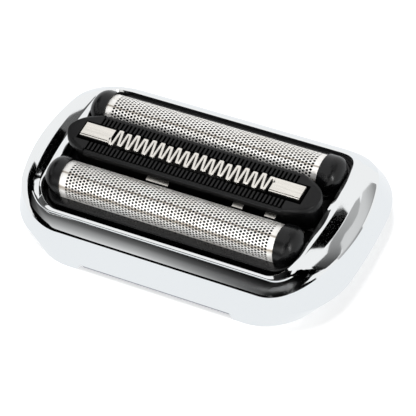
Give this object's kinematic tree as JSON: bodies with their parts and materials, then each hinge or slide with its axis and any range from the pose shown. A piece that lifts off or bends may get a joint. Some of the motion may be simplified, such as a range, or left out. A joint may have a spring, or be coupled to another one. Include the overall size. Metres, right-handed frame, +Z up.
{
  "type": "shaver foil head",
  "caption": "Foil and cutter cassette for an electric shaver: chrome frame, black carriers with arched foils that float on springs, and a raised trimmer with a serpentine comb.",
  "frame": {"origin": "middle of the foot plane, on which the chrome frame's skirt stands", "axes": "+X along the foils, +Y across them towards the rear foil, +Z up through the foils"},
  "size_m": [0.0638, 0.0376, 0.0139],
  "materials": {
    "chrome_plate": "bright chrome plate on moulded ABS",
    "black_plastic": "satin black moulded ABS",
    "guard_plastic": "satin black moulded ABS",
    "frame_plastic": "semi-gloss black moulded ABS",
    "slider_plastic": "natural moulded acetal",
    "foil_steel": "electroformed foil, satin",
    "comb_steel": "stamped strip, fine ground",
    "blade_steel": "ground blade steel",
    "black_blade_steel": "blackened blade steel",
    "spring_steel": "rolled spring strip",
    "screw_steel": "zinc-plated"
  },
  "bodies": {
    "frame": {"chrome_shell": "chrome_plate", "cassette_chassis": "black_plastic", "cutter_retainer": "black_plastic", "retainer_screws": "screw_steel", "front_foil_spring_left": "spring_steel", "front_foil_spring_right": "spring_steel", "rear_foil_spring_left": "spring_steel", "rear_foil_spring_right": "spring_steel", "trimmer_spring_left": "spring_steel", "trimmer_spring_right": "spring_steel"},
    "front_foil_unit": {"front_foil_frame": "frame_plastic", "front_foil": "foil_steel"},
    "rear_foil_unit": {"rear_foil_frame": "frame_plastic", "rear_foil": "foil_steel"},
    "trimmer_unit": {"trimmer_guard": "guard_plastic", "trimmer_comb": "comb_steel"},
    "front_cutter": {"front_cutter_holder": "slider_plastic", "front_cutter_blades": "blade_steel"},
    "rear_cutter": {"rear_cutter_holder": "slider_plastic", "rear_cutter_blades": "blade_steel"},
    "trimmer_cutter": {"trimmer_carrier": "slider_plastic", "trimmer_blade": "black_blade_steel"}
  },
  "joints": [
    {"name": "front_foil_float", "type": "slide", "parent": "frame", "child": "front_foil_unit", "axis": [0, 0, 1], "range_m": [-0.001, 0], "stiffness_N_per_m": 500, "springref_m": 0.002, "deforming": ["front_foil_spring_left", "front_foil_spring_right"]},
    {"name": "rear_foil_float", "type": "slide", "parent": "frame", "child": "rear_foil_unit", "axis": [0, 0, 1], "range_m": [-0.001, 0], "stiffness_N_per_m": 500, "springref_m": 0.002, "deforming": ["rear_foil_spring_left", "rear_foil_spring_right"]},
    {"name": "trimmer_float", "type": "slide", "parent": "frame", "child": "trimmer_unit", "axis": [0, 0, 1], "range_m": [-0.001, 0], "stiffness_N_per_m": 500, "springref_m": 0.002, "deforming": ["trimmer_spring_left", "trimmer_spring_right"]},
    {"name": "front_cutter_stroke", "type": "slide", "parent": "front_foil_unit", "child": "front_cutter", "axis": [1, 0, 0], "range_m": [-0.001, 0.001]},
    {"name": "rear_cutter_stroke", "type": "slide", "parent": "rear_foil_unit", "child": "rear_cutter", "axis": [1, 0, 0], "range_m": [-0.001, 0.001]},
    {"name": "trimmer_cutter_stroke", "type": "slide", "parent": "trimmer_unit", "child": "trimmer_cutter", "axis": [1, 0, 0], "range_m": [-0.00075, 0.00075]}
  ]
}
